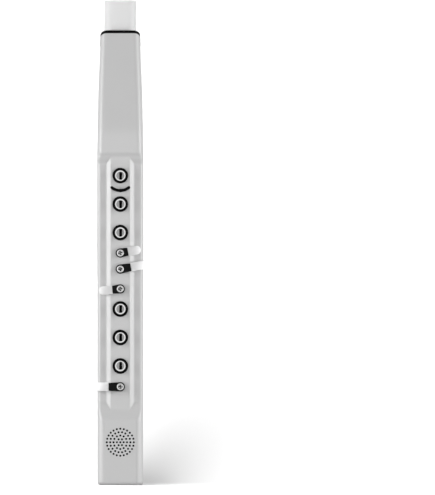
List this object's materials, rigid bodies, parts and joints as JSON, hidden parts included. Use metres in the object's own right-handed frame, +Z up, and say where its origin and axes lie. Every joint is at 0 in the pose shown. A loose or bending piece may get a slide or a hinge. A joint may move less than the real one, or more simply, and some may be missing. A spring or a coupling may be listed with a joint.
{
  "type": "digital wind controller",
  "caption": "Upright handheld electronic wind instrument with a capped mouthpiece, domed finger keys, bent side paddles, rear display and knob, strap loop and thumb hook.",
  "frame": {"origin": "on the flat base, on the mid-plane and on the parting line of the two shells", "axes": "+Z up the body to the mouthpiece, -Y out of the front with the finger keys, +X to the right as seen from the front"},
  "size_m": [0.0545, 0.0723, 0.4598],
  "materials": {
    "shell_grey": "fine satin moulding",
    "trim_black": "gloss black",
    "display_black": "polished black window",
    "soft_black": "soft satin black",
    "mouthpiece_white": "smooth food-safe moulding",
    "cap_frosted": "frosted translucent",
    "tube_clear": "silicone",
    "board_green": "solder mask",
    "inner_black": "plain moulding",
    "cone_paper": "pressed paper",
    "display_glass": "display stack",
    "cell_jacket": "printed jacket left plain",
    "steel": "plated",
    "chrome": "polished plating"
  },
  "bodies": {
    "body": {"front_shell": "shell_grey", "back_shell": "shell_grey", "trim_ring": "trim_black", "mouthpiece_collar": "shell_grey", "mouthpiece": "mouthpiece_white", "breath_tube": "tube_clear", "pressure_sensor": "inner_black", "main_board": "board_green", "key_switches": "inner_black", "key_chassis": "inner_black", "battery_cells": "cell_jacket", "battery_tray": "inner_black", "speaker_frame": "inner_black", "speaker_cone": "cone_paper", "encoder": "inner_black", "display_cover": "display_black", "display_module": "display_glass", "strap_loop": "chrome", "thumb_hook": "soft_black", "pad_housing": "shell_grey", "headphone_socket": "inner_black", "usb_socket": "steel", "case_screws": "steel"},
    "cap": {"mouthpiece_cap": "cap_frosted"},
    "cover": {"battery_cover": "shell_grey"},
    "knob": {"menu_knob": "trim_black"},
    "power": {"power_button": "soft_black"},
    "rear_upper": {"rear_button_upper": "soft_black"},
    "rear_lower": {"rear_button_lower": "soft_black"},
    "pad": {"thumb_pad": "soft_black"},
    "crescent": {"crescent_key": "trim_black"},
    "key_1": {"finger_key_1": "trim_black", "key_dome_1": "chrome"},
    "key_2": {"finger_key_2": "trim_black", "key_dome_2": "chrome"},
    "key_3": {"finger_key_3": "trim_black", "key_dome_3": "chrome"},
    "key_4": {"finger_key_4": "trim_black", "key_dome_4": "chrome"},
    "key_5": {"finger_key_5": "trim_black", "key_dome_5": "chrome"},
    "key_6": {"finger_key_6": "trim_black", "key_dome_6": "chrome"},
    "post_a": {"side_post_a": "trim_black", "arm_screw_a": "chrome"},
    "arm_a": {"side_arm_a": "trim_black", "paddle_a": "chrome"},
    "post_b": {"side_post_b": "trim_black", "arm_screw_b": "chrome"},
    "arm_b": {"side_arm_b": "trim_black", "paddle_b": "chrome"},
    "post_c": {"side_post_c": "trim_black", "arm_screw_c": "chrome"},
    "arm_c": {"side_arm_c": "trim_black", "paddle_c": "chrome"},
    "post_d": {"side_post_d": "trim_black", "arm_screw_d": "chrome"},
    "arm_d": {"side_arm_d": "trim_black", "paddle_d": "chrome"}
  },
  "joints": [
    {"name": "cap_pull", "type": "slide", "parent": "body", "child": "cap", "axis": [0, 0, 1], "range_m": [0, 0.08]},
    {"name": "cover_pull", "type": "slide", "parent": "body", "child": "cover", "axis": [0, 1, 0], "range_m": [0, 0.03]},
    {"name": "knob_turn", "type": "hinge", "parent": "body", "child": "knob", "pos_m": [0, 0.0174, 0.3093], "axis": [0, 1, 0], "continuous": true},
    {"name": "power_press", "type": "slide", "parent": "body", "child": "power", "axis": [0, -1, 0], "range_m": [0, 0.0007], "stiffness_N_per_m": 300, "springref_m": -0.001},
    {"name": "rear_upper_press", "type": "slide", "parent": "body", "child": "rear_upper", "axis": [0, -1, 0], "range_m": [0, 0.0007], "stiffness_N_per_m": 300, "springref_m": -0.001},
    {"name": "rear_lower_press", "type": "slide", "parent": "body", "child": "rear_lower", "axis": [0, -1, 0], "range_m": [0, 0.0007], "stiffness_N_per_m": 300, "springref_m": -0.001},
    {"name": "pad_press", "type": "slide", "parent": "body", "child": "pad", "axis": [0, -0.7208, -0.6931], "range_m": [0, 0.0008], "stiffness_N_per_m": 300, "springref_m": -0.001},
    {"name": "crescent_press", "type": "slide", "parent": "body", "child": "crescent", "axis": [0, 1, 0], "range_m": [0, 0.0012], "stiffness_N_per_m": 300, "springref_m": -0.001},
    {"name": "key_press_1", "type": "slide", "parent": "body", "child": "key_1", "axis": [0, 1, 0], "range_m": [0, 0.0016], "stiffness_N_per_m": 300, "springref_m": -0.001},
    {"name": "key_press_2", "type": "slide", "parent": "body", "child": "key_2", "axis": [0, 1, 0], "range_m": [0, 0.0016], "stiffness_N_per_m": 300, "springref_m": -0.001},
    {"name": "key_press_3", "type": "slide", "parent": "body", "child": "key_3", "axis": [0, 1, 0], "range_m": [0, 0.0016], "stiffness_N_per_m": 300, "springref_m": -0.001},
    {"name": "key_press_4", "type": "slide", "parent": "body", "child": "key_4", "axis": [0, 1, 0], "range_m": [0, 0.0016], "stiffness_N_per_m": 300, "springref_m": -0.001},
    {"name": "key_press_5", "type": "slide", "parent": "body", "child": "key_5", "axis": [0, 1, 0], "range_m": [0, 0.0016], "stiffness_N_per_m": 300, "springref_m": -0.001},
    {"name": "key_press_6", "type": "slide", "parent": "body", "child": "key_6", "axis": [0, 1, 0], "range_m": [0, 0.0016], "stiffness_N_per_m": 300, "springref_m": -0.001},
    {"name": "post_press_a", "type": "slide", "parent": "body", "child": "post_a", "axis": [0, 1, 0], "range_m": [0, 0.0012], "stiffness_N_per_m": 400, "springref_m": -0.001},
    {"name": "arm_swivel_a", "type": "hinge", "parent": "post_a", "child": "arm_a", "pos_m": [0, -0.0217, 0.2202], "axis": [0, -1, 0], "range_deg": [-8, 8]},
    {"name": "post_press_b", "type": "slide", "parent": "body", "child": "post_b", "axis": [0, 1, 0], "range_m": [0, 0.0012], "stiffness_N_per_m": 400, "springref_m": -0.001},
    {"name": "arm_swivel_b", "type": "hinge", "parent": "post_b", "child": "arm_b", "pos_m": [0, -0.0217, 0.205], "axis": [0, -1, 0], "range_deg": [-8, 8]},
    {"name": "post_press_c", "type": "slide", "parent": "body", "child": "post_c", "axis": [0, 1, 0], "range_m": [0, 0.0012], "stiffness_N_per_m": 400, "springref_m": -0.001},
    {"name": "arm_swivel_c", "type": "hinge", "parent": "post_c", "child": "arm_c", "pos_m": [0, -0.0217, 0.1862], "axis": [0, -1, 0], "range_deg": [-8, 8]},
    {"name": "post_press_d", "type": "slide", "parent": "body", "child": "post_d", "axis": [0, 1, 0], "range_m": [0, 0.0012], "stiffness_N_per_m": 400, "springref_m": -0.001},
    {"name": "arm_swivel_d", "type": "hinge", "parent": "post_d", "child": "arm_d", "pos_m": [0, -0.0217, 0.0934], "axis": [0, -1, 0], "range_deg": [-8, 8]}
  ]
}
